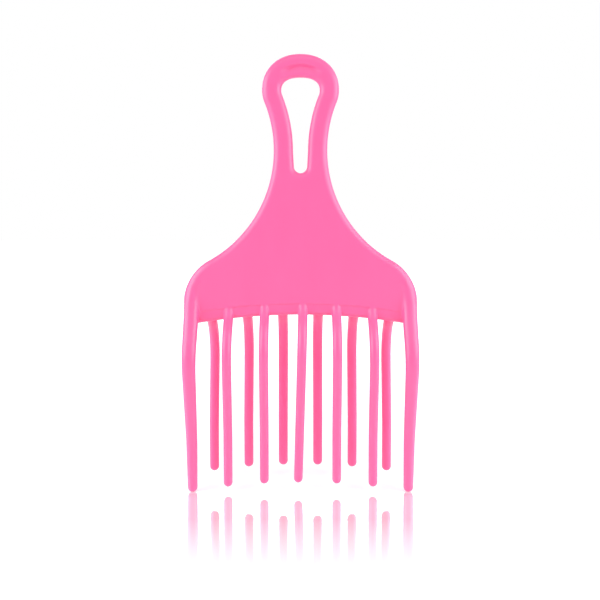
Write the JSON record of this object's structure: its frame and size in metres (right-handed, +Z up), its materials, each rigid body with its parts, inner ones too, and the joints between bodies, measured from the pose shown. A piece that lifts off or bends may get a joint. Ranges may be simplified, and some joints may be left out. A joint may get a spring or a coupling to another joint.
{
  "type": "afro pick",
  "caption": "Moulded lifting pick with a loop handle, a flared flat blade, and front and rear rows of bowed teeth set in each other's gaps.",
  "frame": {"origin": "on the surface that the two outer front tips stand on, midway across the blade and midway between the two rows", "axes": "+Z up from the tips to the loop, +X across the blade to the viewer's right, -Y towards the viewer and the front row, +Y towards the rear row"},
  "size_m": [0.0934, 0.0243, 0.1718],
  "materials": {
    "moulding": "satin-gloss injection moulding in solid pink"
  },
  "bodies": {
    "root": {"handle_loop": "moulding", "blade": "moulding", "front_tooth_1": "moulding", "front_tooth_2": "moulding", "front_tooth_3": "moulding", "front_tooth_4": "moulding", "front_tooth_5": "moulding", "front_tooth_6": "moulding", "front_tooth_7": "moulding", "rear_tooth_1": "moulding", "rear_tooth_2": "moulding", "rear_tooth_3": "moulding", "rear_tooth_4": "moulding", "rear_tooth_5": "moulding", "rear_tooth_6": "moulding"}
  },
  "joints": []
}
